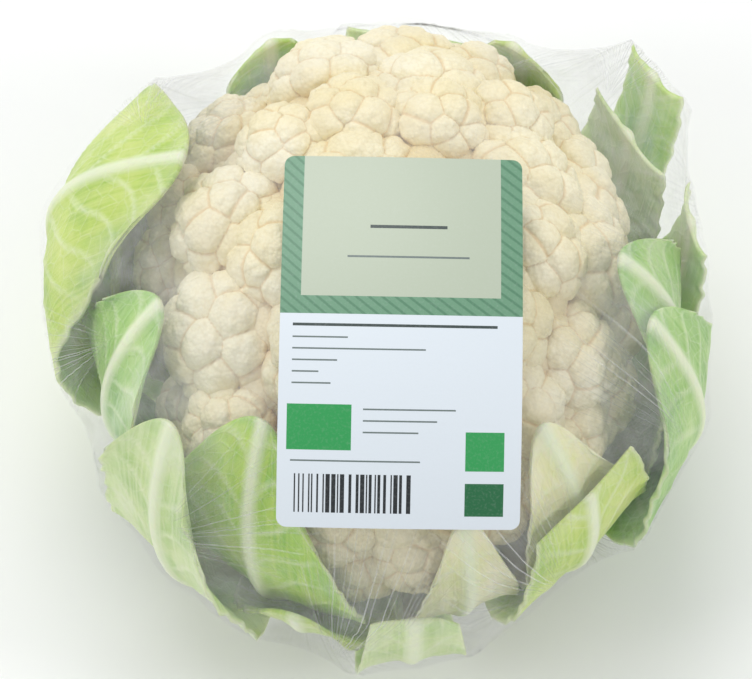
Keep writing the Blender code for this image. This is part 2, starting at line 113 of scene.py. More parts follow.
def tint(tree, colour, over, where, low, high, most=1.0):
    """Lay a colour over another, from none where a pattern is low to the most where it is high."""
    share = add_node(tree, "ShaderNodeMapRange", {"Value": where, "From Min": low, "From Max": high, "To Max": most})
    mix = add_node(tree, "ShaderNodeMix", {"Factor": share.outputs["Result"], MIX_A: colour, MIX_B: over},
                   data_type="RGBA")
    return mix.outputs[MIX_RESULT]


# %% [markdown]
# ## The room
#
# A plain pale table top and soft light from every side, with one large lamp high up behind the head.
# That lamp throws the soft shadow forward and down to the right and puts streaks on the wrap. A floor
# of one grey would look dead, so it gets a hardly visible cloudiness.

# %% Floor and lights
FLOOR_SIZE = 6.0
ROOM_COLOUR = (0.97, 0.985, 1.0, 1.0)
ROOM_LIGHT = 0.60

bpy.ops.object.select_all(action="DESELECT")
bpy.ops.mesh.primitive_plane_add(size=FLOOR_SIZE, location=(0, 0, 0))
floor = bpy.context.object
floor.name = "floor"
floor_paint, tree, shader = new_material("matt_white_table_top", 0.75)
place = add_node(tree, "ShaderNodeTexCoord").outputs["Object"]
clouds = add_node(tree, "ShaderNodeTexNoise", {"Vector": place, "Scale": 4.0, "Detail": 3.0}).outputs["Fac"]
floor_colour = tint(tree, linear("#F7F7F6"), linear("#FBFBFB"), clouds, 0.3, 0.7)
tree.links.new(floor_colour, shader.inputs["Base Color"])
floor.data.materials.append(floor_paint)

world = bpy.data.worlds.new("soft_light_all_round")
bpy.context.scene.world = world
world.use_nodes = True
world.node_tree.nodes["Background"].inputs["Color"].default_value = ROOM_COLOUR
world.node_tree.nodes["Background"].inputs["Strength"].default_value = ROOM_LIGHT
LAMPS = {
    "lamp_behind": ((-0.25, 0.75, 1.25), 1.0, 9.0),
    "lamp_left": ((-1.1, -0.5, 0.9), 0.4, 3.6),
    "lamp_right": ((1.0, -0.3, 0.7), 0.25, 2.6),
}
for name, (spot, size, power) in LAMPS.items():
    turn = (CENTRE - Vector(spot)).to_track_quat("-Z", "Y").to_euler()
    bpy.ops.object.light_add(type="AREA", location=spot, rotation=turn)
    lamp = bpy.context.object
    lamp.name = name
    lamp.data.size = size
    lamp.data.energy = power
bpy.context.scene.view_settings.view_transform = "Standard"
print("lamps", len(LAMPS))

# %% [markdown]
# ## Working on meshes
#
# Primitives come from Blender's own operators. Where a surface is grown, as in a curd or a leaf, its
# points are moved by a formula, as a sculptor would push them, because no extrude or bevel gives that
# shape. These helpers read and move the points, and hand a piece over as what stands for a solid.


# %% Helpers for meshes
SHARP = math.radians(40)


def points_of(thing):
    """Return the places of an object's points as rows of a table."""
    flat = np.empty(len(thing.data.vertices) * 3)
    thing.data.vertices.foreach_get("co", flat)
    return flat.reshape(-1, 3)


def move_points(thing, points):
    """Put an object's points at new places."""
    thing.data.vertices.foreach_set("co", np.ascontiguousarray(points, dtype=np.float32).ravel())
    thing.data.update()


def keep_values(thing, name, values):
    """Store one number for each point, for a material to read."""
    layer = thing.data.attributes.new(name, "FLOAT", "POINT")
    layer.data.foreach_set("value", np.asarray(values, dtype=np.float32))


def edit_all(thing):
    """Open one object for editing with all of it selected."""
    bpy.ops.object.select_all(action="DESELECT")
    bpy.context.view_layer.objects.active = thing
    thing.select_set(True)
    bpy.ops.object.mode_set(mode="EDIT")
    bpy.ops.mesh.select_all(action="SELECT")


def finish_editing():
    """Go back to object mode."""
    bpy.ops.object.mode_set(mode="OBJECT")


def add_modifier(thing, kind, **settings):
    """Add a modifier, set it and apply it."""
    bpy.ops.object.select_all(action="DESELECT")
    bpy.context.view_layer.objects.active = thing
    thing.select_set(True)
    modifier = thing.modifiers.new("step", kind)
    for name, value in settings.items():
        setattr(modifier, name, value)
    bpy.ops.object.modifier_apply(modifier=modifier.name)


def join(things, name):
    """Join some objects into the first of them."""
    bpy.ops.object.select_all(action="DESELECT")
    for thing in things:
        thing.select_set(True)
    bpy.context.view_layer.objects.active = things[0]
    bpy.ops.object.join()
    things[0].name = things[0].data.name = name
    return things[0]


def stand_for(piece, node, made_of, flat_edges=False):
    """Give a piece its finish, shade it smooth and let it stand for a solid."""
    piece.data.materials.clear()
    piece.data.materials.append(made_of)
    piece.data.shade_smooth()
    if flat_edges:
        bpy.ops.object.select_all(action="DESELECT")
        bpy.context.view_layer.objects.active = piece
        piece.select_set(True)
        bpy.ops.object.shade_smooth_by_angle(angle=SHARP)
    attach(piece, "root")
    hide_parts(node)


def smooth(x):
    """Ease from 0 to 1."""
    x = np.clip(x, 0.0, 1.0)
    return x * x * (3 - 2 * x)


# %% [markdown]
# ## Where the florets stand
#
# A curd is a shoot that branched again and again, so its lumps sit in spirals a golden angle apart.
# The florets beside the label are placed as they are seen, and the others fill the dome in a spiral.
# These are the same places and sizes as in the solid curd, from the same seeded rule.

# %% The florets' places
CURD_HALF = (0.069, 0.083, 0.057)
SEEN_FLORETS = (
    (-0.0400, 0.0201, 0.0150), (-0.0408, -0.0085, 0.0165), (-0.0385, -0.0325, 0.0125),
    (-0.0600, 0.0285, 0.0110), (-0.0590, 0.0110, 0.0105), (-0.0430, 0.0435, 0.0130),
    (-0.0270, 0.0405, 0.0115), (-0.0165, 0.0585, 0.0150), (0.0030, 0.0640, 0.0150),
    (-0.0095, 0.0475, 0.0125), (0.0125, 0.0475, 0.0120), (0.0295, 0.0475, 0.0125),
    (0.0225, 0.0620, 0.0120), (0.0430, 0.0520, 0.0130), (0.0530, 0.0375, 0.0130),
    (0.0485, 0.0245, 0.0170), (0.0370, 0.0135, 0.0130), (0.0545, -0.0015, 0.0150),
    (0.0500, -0.0225, 0.0165), (-0.0060, -0.0645, 0.0115), (0.0090, -0.0605, 0.0115),
)
GOLDEN_ANGLE = math.radians(137.508)
FLORET_SEED = 13
FLORETS = 52
FLORET_REACH = math.radians(104)
FLORET_RADIUS = (0.0130, 0.0185)
FLORET_JITTER = 0.07
FLORET_STEP = 0.0022
FLORET_APART = 0.0165
LABEL_ELEVATION = math.radians(60)
LABEL_TILT = math.radians(-1.0)


def golden_directions(count, reach, axis, rng, jitter):
    """Spread directions evenly over a cap round an axis, by the golden angle, each a little off its place."""
    turn = Vector((0, 0, 1)).rotation_difference(axis)
    found = []
    for k in range(count):
        height = 1 - (1 - math.cos(reach)) * (k + 0.5) / count
        flat = math.sqrt(1 - height ** 2)
        angle = k * GOLDEN_ANGLE
        direction = Vector((flat * math.cos(angle), flat * math.sin(angle), height))
        direction += Vector([rng.uniform(-jitter, jitter) for _ in range(3)])
        found.append(turn @ direction.normalized())
    return found


def label_frame():
    """Return the directions across, up and out of the label."""
    out = Vector((0, -math.cos(LABEL_ELEVATION), math.sin(LABEL_ELEVATION)))
    across = Vector((1, 0, 0)) * math.cos(LABEL_TILT) + out.cross(Vector((1, 0, 0))) * math.sin(LABEL_TILT)
    return across, out.cross(across), out


def seen_place(right, up, radius):
    """Return the middle and the outward direction of a floret, from where the label's side shows it."""
    inner = [half - radius for half in CURD_HALF]
    across, along, out = label_frame()
    flat = across * right + along * up
    square = sum((out[i] / inner[i]) ** 2 for i in range(3))
    cross = sum(out[i] * flat[i] / inner[i] ** 2 for i in range(3))
    excess = sum((flat[i] / inner[i]) ** 2 for i in range(3)) - 1
    middle = flat + out * (math.sqrt(max(cross ** 2 - square * excess, 0)) - cross) / square
    middle /= math.sqrt(sum((middle[i] / inner[i]) ** 2 for i in range(3)))
    outward = Vector([middle[i] / inner[i] ** 2 for i in range(3)]).normalized()
    return CENTRE + middle, outward


def floret_places():
    """Return the middle, the outward direction and the radius of each floret on the dome."""
    rng = random.Random(FLORET_SEED)
    places = [(*seen_place(*seen), seen[2]) for seen in SEEN_FLORETS]
    seen = len(places)
    for direction in golden_directions(FLORETS, FLORET_REACH, Vector((0, 0, 1)), rng, FLORET_JITTER):
        radius = rng.uniform(*FLORET_RADIUS)
        tip = Vector([direction[i] * CURD_HALF[i] for i in range(3)])
        outward = Vector([direction[i] / CURD_HALF[i] for i in range(3)]).normalized()
        middle = CENTRE + tip - outward * (radius + rng.uniform(0, FLORET_STEP))
        if all((middle - place[0]).length > FLORET_APART for place in places[:seen]):
            places.append((middle, outward, radius))
    return places


places = floret_places()
print("florets", len(places))

# %% [markdown]
# ## One kind of floret
#
# Each floret repeats the head in small: lobes 9 to 12 mm across, each crowded with low buds 3 to 4 mm
# across. Joining hundreds of balls with Booleans would be slow. All the balls are seen from the
# floret's middle instead, so every point of one ball mesh only has to move out to the farthest ball
# in its own direction. Where two lobes reach equally far they press on each other, and there a narrow
# crease is sunk. The part that sinks into the head is cut off flat. Six kinds are enough.

# %% Model the kinds of floret
KINDS = 6
LOBES = 30
LOBE_SIZE = (0.33, 0.42)
LOBE_OUT = 0.62
LOBE_UNEVEN = 0.05
LOBE_JITTER = 0.14
BUDS = 16
BUD_SIZE = (0.09, 0.14)
BUD_REACH = math.radians(95)
BUD_JITTER = 0.16
BUD_RISE = (0.018, 0.040)
RELIEF = 0.80
CREASE_WIDTH = 0.030
CREASE_DEPTH = 0.030
KIND_SEED = 100
CUT_UNDER = -0.42


def lobes_and_buds(rng):
    """Return the middles and radii of a floret's lobes, and of the buds on them, for a radius of 1."""
    lobes, buds = [], []
    for lobe_way in golden_directions(LOBES, math.pi, Vector((0, 0, 1)), rng, LOBE_JITTER):
        lobe_radius = rng.uniform(*LOBE_SIZE)
        lobe = lobe_way * (LOBE_OUT + rng.uniform(-LOBE_UNEVEN, 0.0))
        lobes.append((*lobe, lobe_radius))
        for bud_way in golden_directions(BUDS, BUD_REACH, lobe_way, rng, BUD_JITTER):
            bud_radius = rng.uniform(*BUD_SIZE)
            buds.append((*(lobe + bud_way * (lobe_radius - bud_radius + rng.uniform(*BUD_RISE))), bud_radius))
    return np.array(lobes), np.array(buds)


def reach_of_balls(directions, balls):
    """Return how far out each ball reaches along each direction from the middle, the farthest last."""
    along = directions @ balls[:, :3].T
    left = balls[:, 3] ** 2 - np.sum(balls[:, :3] ** 2, axis=1) + along ** 2
    return np.sort(np.where(left > 0, along + np.sqrt(np.maximum(left, 0)), 0), axis=1)


def model_floret(kind):
    """Model one kind of floret with radius 1, standing up along Z."""
    bpy.ops.object.select_all(action="DESELECT")
    bpy.ops.mesh.primitive_ico_sphere_add(subdivisions=6, radius=1.0)
    floret = bpy.context.object
    directions = points_of(floret)
    directions /= np.linalg.norm(directions, axis=1, keepdims=True)
    lobes, buds = lobes_and_buds(random.Random(KIND_SEED + kind))
    on_lobes = reach_of_balls(directions, lobes)
    reach = np.maximum(on_lobes[:, -1], reach_of_balls(directions, buds)[:, -1])
    crease = np.exp(-((on_lobes[:, -1] - on_lobes[:, -2]) / CREASE_WIDTH) ** 2)
    depth = RELIEF * np.clip(1 - reach / np.percentile(reach, 98), 0, None) + CREASE_DEPTH * crease
    move_points(floret, directions * (1 - depth)[:, None])
    # How close a point is to a crease is kept for the finish, which paints shade into the creases with it.
    keep_values(floret, "crease_shade", crease)
    edit_all(floret)
    bpy.ops.mesh.bisect(plane_co=(0, 0, CUT_UNDER), plane_no=(0, 0, 1), use_fill=True, clear_inner=True)
    finish_editing()
    return floret


kinds = [model_floret(kind) for kind in range(KINDS)]
print("faces of a floret", len(kinds[0].data.polygons))

# %% [markdown]
# ## What a curd looks like close up
#
# Fresh curd is matt, slightly wet and cream on top. Down in its creases it is painted warm tan and then
# brown, as painted shade where little light reaches. Its surface is a crowd of closed buds about 1 mm
# wide. Two stored numbers say how deep a point lies, in its floret and in the head, and set how much
# painted shade it gets. The buds are a cell pattern that bends the light and paints a little shade into
# the gaps between them, because modelling them would take millions of faces.

# %% The curd's finish
BUD_GRAIN = 0.0011
FINE_GRAIN = 0.0004
PATCH = 0.022

curd_flesh, tree, shader = new_material("fresh_curd_flesh", 0.6)
place = add_node(tree, "ShaderNodeTexCoord").outputs["Object"]
crease_shade = add_node(tree, "ShaderNodeAttribute", attribute_name="crease_shade").outputs["Fac"]
deep = add_node(tree, "ShaderNodeAttribute", attribute_name="deep").outputs["Fac"]
patches = add_node(tree, "ShaderNodeTexNoise", {"Vector": place, "Scale": 1 / PATCH, "Detail": 4.0}).outputs["Fac"]
bud_bumps_and_gap_shade = add_node(tree, "ShaderNodeTexVoronoi", {"Vector": place, "Scale": 1 / BUD_GRAIN}).outputs["Distance"]
fine = add_node(tree, "ShaderNodeTexNoise", {"Vector": place, "Scale": 1 / FINE_GRAIN, "Detail": 2.0}).outputs["Fac"]
colour = tint(tree, linear("#F8F0D2"), linear("#F1E4B9"), patches, 0.35, 0.65)
# Painted shade: tan in the creases between lobes, then tan and brown deeper in the head.
colour = tint(tree, colour, linear("#DBB273"), crease_shade, 0.35, 1.0, 0.60)
colour = tint(tree, colour, linear("#CFA565"), deep, 0.30, 0.80, 0.80)
colour = tint(tree, colour, linear("#8F6330"), deep, 0.65, 1.0, 0.8)
# Painted shade: darker tan in the gaps where the bud cells meet.
colour = tint(tree, colour, linear("#E0CFA0"), bud_bumps_and_gap_shade, 0.45, 0.9, 0.35)
tree.links.new(colour, shader.inputs["Base Color"])
buds = add_node(tree, "ShaderNodeBump", {"Height": bud_bumps_and_gap_shade, "Strength": 0.55, "Distance": 0.0004}, invert=True)
skin = add_node(tree, "ShaderNodeBump", {"Height": fine, "Strength": 0.25, "Distance": 0.0002,
                                         "Normal": buds.outputs["Normal"]})
tree.links.new(skin.outputs["Normal"], shader.inputs["Normal"])
shader.inputs["Subsurface Weight"].default_value = 0.08
shader.inputs["Subsurface Radius"].default_value = (1.0, 0.9, 0.7)
shader.inputs["Subsurface Scale"].default_value = 0.0012

# %% [markdown]
# ## The curd
#
# Each floret is a copy with its own mesh, turned round its own axis so that no two look alike, and
# grown to its size, a little broader than it is high, because florets press on each other. They are
# then joined by the side of the head that they are on, which keeps each piece light enough. The core
# goes in behind them. It has small lobes of its own, which show where three florets leave a gap.

# %% Place the florets
SIDES = 6
BROADER = 1.20
# Between these shares of the head's size, how deep a point lies sets its painted shade, from none to full.
DEEP_FROM, DEEP_TO = 0.91, 0.76


def place_floret(number, middle, outward, radius, rng):
    """Copy a kind of floret to its place on the head, and store how deep its points lie, for their painted shade."""
    kind = kinds[number % KINDS]
    floret = kind.copy()
    floret.data = kind.data.copy()
    bpy.context.scene.collection.objects.link(floret)
    upright = outward.to_track_quat("Z", "Y").to_matrix()
    turned = np.array(upright @ Matrix.Rotation(rng.uniform(0, math.tau), 3, "Z"))
    points = points_of(floret) * radius * np.array([BROADER, BROADER, 1.0]) @ turned.T + np.array(middle)
    move_points(floret, points)
    share = np.linalg.norm((points - np.array(CENTRE)) / np.array(CURD_HALF), axis=1)
    keep_values(floret, "deep", np.clip((DEEP_FROM - share) / (DEEP_FROM - DEEP_TO), 0, 1))
    return floret


rng = random.Random(FLORET_SEED + 7)
by_side = sorted(range(len(places)), key=lambda k: math.atan2(places[k][0].y, places[k][0].x))
florets = {k: place_floret(k, *places[k], rng) for k in range(len(places))}
curd_pieces = []
for side in range(SIDES):
    share = by_side[side * len(by_side) // SIDES:(side + 1) * len(by_side) // SIDES]
    curd_pieces.append(join([florets[k] for k in share], f"curd_side_{side + 1}"))
for kind in kinds:
    bpy.data.objects.remove(kind, do_unlink=True)
for piece in curd_pieces:
    stand_for(piece, "curd", curd_flesh)
print("curd triangles", sum(len(p.data.polygons) for p in curd_pieces))

# %% The core and the branches under the florets
CORE_SHARE = 0.84
CORE_FLATTENED = 0.38
CORE_LOBES = 240
CORE_LOBE_SIZE = 0.135
CORE_LOBE_OUT = (0.86, 0.90)
CORE_JITTER = 0.06
CORE_SEED = 5
CORE_LEAST = 0.93
# The core shows only in gaps behind the florets, and these give it a fixed amount of painted shade.
CORE_CREASE_SHADE = 0.3
CORE_DEPTH_SHADE = 0.42
NECK = (0.0217, 0.042, 0.0347, 0.058)

bpy.ops.object.select_all(action="DESELECT")
bpy.ops.mesh.primitive_ico_sphere_add(subdivisions=7, radius=1.0)
core = bpy.context.object
ways = points_of(core)
ways /= np.linalg.norm(ways, axis=1, keepdims=True)
rng = random.Random(CORE_SEED)
lobe_ways = golden_directions(CORE_LOBES, math.pi, Vector((0, 0, 1)), rng, CORE_JITTER)
core_lobes = np.array([(*(way * rng.uniform(*CORE_LOBE_OUT)), CORE_LOBE_SIZE) for way in lobe_ways])
swell = np.maximum(reach_of_balls(ways, core_lobes)[:, -1], CORE_LEAST)
core_points = ways * np.array(CURD_HALF) * CORE_SHARE * swell[:, None]
core_points[:, 2] *= np.where(core_points[:, 2] < 0, CORE_FLATTENED, 1.0)
move_points(core, core_points + np.array(CENTRE))
bpy.ops.mesh.primitive_cone_add(vertices=96, radius1=NECK[0], radius2=NECK[1], depth=NECK[3] - NECK[2],
                                location=(0, 0, (NECK[2] + NECK[3]) / 2))
neck = bpy.context.object
add_modifier(core, "BOOLEAN", operation="UNION", object=neck, solver="EXACT")
bpy.data.objects.remove(neck, do_unlink=True)
core.name = core.data.name = "curd_core"
keep_values(core, "crease_shade", np.full(len(core.data.vertices), CORE_CREASE_SHADE))
keep_values(core, "deep", np.full(len(core.data.vertices), CORE_DEPTH_SHADE))
stand_for(core, "curd", curd_flesh)
print("core faces", len(core.data.polygons))

# %% [markdown]
# ## The leaves' form
#
# The leaves grow from the stem in three turns. Each runs out from the stem, turns up at the shoulder
# and hugs the curd, with a rib that is thick at the stalk and fades to the tip. A flat grid gets its
# second side from Solidify, and then every point is moved to its place by the rule that also made the
# solid, with finer waves at the margin and raised side veins. That keeps each leaf where its solid is.

# %% The leaves' rule
TURN_OFFSET = (0.0016, 0.0068, 0.0120)
TURN_ROOT = (0.0295, 0.0210, 0.0125)
STEM_RADIUS = 0.0235
GAP = 0.0003
SHOULDER = math.radians(-25)
ARC_PER_STEP = math.radians(60)
STALK_OUT = (0.022, -0.0005)
STALK_RISE = 0.018
STALK_HALF_WIDTH = 0.0095
RIB_ROOT = 0.0052
RIB_TIP = 0.0022
RIB_HALF_WIDTH = (0.0068, 0.0026)
RIB_NARROW_AT = 0.7
BLADE = 0.0010
STALK_SHARE = 0.16
WIDEST = 0.62
WIDEST_REACH = 0.074
CUT_TAPER = 0.22
ROUND_END = 0.82
ROUND_CORNER = 0.13
ROUND_FROM = 0.5
WAVE_SKEW = 1.5
ARCH_FROM = 0.35
ARCH_AT_MARGIN = 0.30

# Name, turn, azimuth, reach, half width, lean, flare, curl, wave, waves, arch, cut level, finish
LEAVES = (
    ("leaf_inner_left", 0, 163, 11, 0.029, -6, 0.0010, 0.0008, 0.0006, 3, 0.0000, False, "lime"),
    ("leaf_inner_front_left", 0, 250, 40, 0.027, -9, 0.0004, 0.0006, 0.0006, 3, 0.0000, False, "bright"),
    ("leaf_inner_front", 0, 284, 24, 0.0145, 0, 0.0006, 0.0006, 0.0006, 3, 0.0000, False, "blanched"),
    ("leaf_inner_front_right", 0, 312, 35, 0.019, -7, 0.0004, 0.0006, 0.0006, 3, 0.0000, False, "blanched"),
    ("leaf_inner_back_right", 0, 62, 19, 0.018, 2, 0.0004, 0.0006, 0.0006, 3, 0.0000, False, "lime"),
    ("leaf_inner_back", 0, 111, 15, 0.018, 2, 0.0004, 0.0006, 0.0006, 3, 0.0000, False, "bright"),
    ("leaf_left", 1, 203, 38, 0.026, -2, -0.0010, 0.0010, 0.0008, 3, 0.0000, False, "green"),
    ("leaf_front_low", 1, 255, -4, 0.022, 0, 0.0010, 0.0008, 0.0008, 2, 0.0000, False, "lime"),
    ("leaf_front_right", 1, 307, 15, 0.023, 1, 0.0002, 0.0008, 0.0008, 3, 0.0000, True, "lime"),
    ("leaf_right", 1, 352, 39, 0.028, -1, -0.0008, 0.0006, 0.0008, 3, 0.0000, False, "green"),
    ("leaf_back_right", 1, 35, 8, 0.020, 2, 0.0010, 0.0010, 0.0008, 3, 0.0000, True, "pale"),
    ("leaf_back", 1, 83, -4, 0.027, 0, 0.0010, 0.0010, 0.0008, 3, 0.0000, True, "pale"),
    ("leaf_back_left", 1, 137, -8, 0.030, 2, 0.0010, 0.0010, 0.0008, 3, 0.0000, False, "green"),
    ("leaf_outer_left", 2, 168, 43, 0.041, -9, -0.0075, 0.0010, 0.0014, 3, 0.0115, False, "lime"),
    ("leaf_outer_front_left", 2, 234, 31, 0.024, -8, 0.0010, 0.0010, 0.0012, 3, 0.0000, False, "pale"),
    ("leaf_outer_front", 2, 274, 6, 0.014, 0, -0.0010, 0.0010, 0.0012, 2, 0.0000, True, "pale"),
    ("leaf_outer_right", 2, 338, 30, 0.028, 2, -0.0020, 0.0006, 0.0012, 3, 0.0040, False, "green"),
    ("leaf_outer_right_end", 2, 13, 9, 0.014, 1, 0.0010, 0.0010, 0.0008, 2, 0.0000, True, "pale"),
    ("leaf_outer_back_right", 2, 40, 15, 0.012, 0, 0.0095, 0.0010, 0.0006, 2, 0.0000, True, "bright"),
)


def side_of_head(step, azimuth, turn):
    """Return the distance out, the height and the outward slope of a turn's path up the head's side."""
    across = 1 / np.hypot(np.cos(azimuth) / CURD_HALF[0], np.sin(azimuth) / CURD_HALF[1])
    wide = across + TURN_OFFSET[turn]
    tall = CURD_HALF[2] + TURN_OFFSET[turn]
    angle = SHOULDER + np.maximum(step - 1, 0) * ARC_PER_STEP
    dome = np.stack([wide * np.cos(angle), CENTRE.z + tall * np.sin(angle)], axis=-1)
    dome_way = np.stack([-wide * np.sin(angle), tall * np.cos(angle)], axis=-1)
    start = np.array([STEM_RADIUS + GAP, TURN_ROOT[turn]])
    end = np.stack([wide * math.cos(SHOULDER), np.full_like(wide, CENTRE.z + tall * math.sin(SHOULDER))], axis=-1)
    rise = np.stack([-wide * math.sin(SHOULDER), np.full_like(wide, tall * math.cos(SHOULDER))], axis=-1)
    rise /= np.linalg.norm(rise, axis=-1, keepdims=True)
    first = start + np.array(STALK_OUT)
    second = end - rise * STALK_RISE
    on = np.minimum(step, 1)[..., None]
    back = 1 - on
    stalk = start * back ** 3 + first * 3 * back ** 2 * on + second * 3 * back * on ** 2 + end * on ** 3
    stalk_way = (first - start) * back ** 2 + (second - first) * 2 * back * on + (end - second) * on ** 2
    past = (step > 1)[..., None]
    point = np.where(past, dome, stalk)
    along = np.where(past, dome_way, stalk_way)
    along = along / np.linalg.norm(along, axis=-1, keepdims=True)
    return point, np.stack([along[..., 1], -along[..., 0]], axis=-1)


def half_width(share, widest, cut):
    """Return a leaf's half width along its length: a stalk, a wide blade, and a round or cut end."""
    width = STALK_HALF_WIDTH + (widest - STALK_HALF_WIDTH) * smooth((share - STALK_SHARE) / (WIDEST - STALK_SHARE))
    past = np.maximum(share - WIDEST, 0) / (1 - WIDEST)
    return width * (1 - CUT_TAPER * past ** 2 if cut else np.sqrt(1 - (ROUND_END * past) ** 2))


# %% [markdown]
# ## One leaf
#
# Side veins leave the rib at about 45 degrees every 13 mm and fade before the margin. They stand out
# on the outer face, as on the real leaf's back, which is the side that shows. The margin is crimped in
# waves about 9 mm long. The distances across and along the leaf are stored for the finish, which can
# then draw veins that follow the blade round the head.

# %% Model a leaf
LEAF_ROWS, LEAF_COLUMNS = 120, 52
VEIN_EVERY = 0.013
VEIN_WIDTH = 0.0008
VEIN_HEIGHT = 0.0004
VEIN_SLANT = 1.1
VEIN_SQUARE = 0.67
VEIN_WANDER = (0.12, 210, 3)
VEIN_STARTS = 0.004
CRIMP = 0.0006
CRIMPS = 13
LEAF_LENGTH_PER_STEP = 0.072


def side_veins(across, along, column):
    """Return how much of a side vein there is at each place, from 0 to 1."""
    place_on = (along - VEIN_SLANT * np.abs(across)) / VEIN_EVERY + 0.5 * (across > 0)
    wander = VEIN_WANDER[0] * np.sin(along * VEIN_WANDER[1] + VEIN_WANDER[2] * column)
    distance = np.abs((place_on + wander) % 1 - 0.5) * VEIN_EVERY * VEIN_SQUARE
    return np.exp(-(distance / VEIN_WIDTH) ** 2) * (1 - column ** 4) * smooth(np.abs(across) / VEIN_STARTS)


def leaf_skins(leaf, share, column):
    """Return the inner and outer points of a leaf, and what its finish needs to know of each."""
    name, turn, azimuth, reach, widest, lean, flare, curl, wave, waves, arch, cut, finish = leaf
    last = 1 + (math.radians(reach) - SHOULDER) / ARC_PER_STEP
    width = half_width(share, widest, cut)
    rounding = 0 if cut else ROUND_CORNER * column ** 2 * smooth((share - ROUND_FROM) / (1 - ROUND_FROM))
    step = share * last * (1 - rounding)
    axis = np.radians(azimuth + lean * share ** 2)
    reach_out = side_of_head(step, axis, turn)[0][..., 0]
    way = axis + column * np.minimum(width / reach_out, widest / WIDEST_REACH)
    point, outward = side_of_head(step, way, turn)
    out = smooth(share / WIDEST)
    phase = math.tau * (waves * share + azimuth / 90)
    lift = flare * share ** 4 + curl * (column * out) ** 4
    lift = lift + wave * column ** 2 * out * (1 + np.sin(phase + WAVE_SKEW * column))
    arched = np.sin(math.pi * smooth((share - ARCH_FROM) / (1 - ARCH_FROM)))
    lift = lift + arch * arched * (1 - (1 - ARCH_AT_MARGIN) * column ** 2)
    crimp = np.sin(math.tau * CRIMPS * share + azimuth) + 0.5 * np.sin(math.tau * 1.7 * CRIMPS * share + 2 * azimuth)
    lift = lift + CRIMP * np.abs(column) ** 5 * smooth((share - 0.3) / 0.2) * (1 + 0.66 * crimp)
    rib = RIB_ROOT + (RIB_TIP - RIB_ROOT) * smooth(share)
    rib_width = RIB_HALF_WIDTH[0] + (RIB_HALF_WIDTH[1] - RIB_HALF_WIDTH[0]) * smooth(share / RIB_NARROW_AT)
    across = column * width
    ribbed = np.exp(-(across / rib_width) ** 2)
    along = share * last * LEAF_LENGTH_PER_STEP
    veins = side_veins(across, along, column) * smooth((share - 0.25) / 0.2)
    thickness = BLADE + (rib - BLADE) * ribbed + VEIN_HEIGHT * veins * (1 - ribbed)
    skins = []
    for distance in (lift, lift + thickness):
        flat = point + outward * distance[..., None]
        skins.append(np.stack([flat[..., 0] * np.cos(way), flat[..., 0] * np.sin(way), flat[..., 1]], axis=-1))
    return skins, {"across": across, "along": along, "rib": ribbed, "vein": veins, "share": share, "column": column}


def model_leaf(leaf):
    """Model one leaf: a grid, made double by Solidify, then moved onto the leaf's rule."""
    bpy.ops.object.select_all(action="DESELECT")
    bpy.ops.mesh.primitive_grid_add(x_subdivisions=LEAF_COLUMNS, y_subdivisions=LEAF_ROWS, size=2.0)
    piece = bpy.context.object
    piece.name = piece.data.name = leaf[0] + "_blade"
    flat = points_of(piece)
    column, share = flat[:, 0], (flat[:, 1] + 1) / 2
    add_modifier(piece, "SOLIDIFY", thickness=0.1, offset=0.0)
    (inner, outer), facts = leaf_skins(leaf, share, column)
    move_points(piece, np.concatenate([outer, inner]))
    for name, values in facts.items():
        keep_values(piece, name, np.tile(np.broadcast_to(values, share.shape), 2))
    edit_all(piece)
    bpy.ops.mesh.normals_make_consistent(inside=False)
    finish_editing()
    return piece


leaf_pieces = {leaf[0]: model_leaf(leaf) for leaf in LEAVES}
print("leaves", len(leaf_pieces), "faces each", len(next(iter(leaf_pieces.values())).data.polygons))

# %% [markdown]
# ## What a leaf looks like
#
# The leaves are smooth and a little waxy. The rib and the stalk are nearly white, side veins and a fine
# net of small veins are paler than the blade, and the green is uneven: yellower where light reached
# less. Fine lines run along the blade. Leaves under the others never saw light and stay cream. One
# recipe with five sets of colours makes all of them.

# %% The leaves' finishes
NET_CELL = 0.0048
LINE_ACROSS, LINE_ALONG = 0.0009, 0.030
LEAF_PATCH = 0.016
LEAF_COLOURS = {
    "lime": ("#BBD35E", "#D3E086", "#9CC047", 0.40),
    "bright": ("#A9D048", "#C9DF6E", "#86BC3C", 0.38),
    "green": ("#98C468", "#BBD78C", "#74AB4C", 0.40),
    "pale": ("#CBDD9C", "#DDE8BC", "#ADCB7C", 0.42),
    "blanched": ("#EDEBBA", "#F3F0CE", "#DCE393", 0.45),
}
PALE_RIB = "#E8EECF"
PALE_STALK = "#DFE8C0"


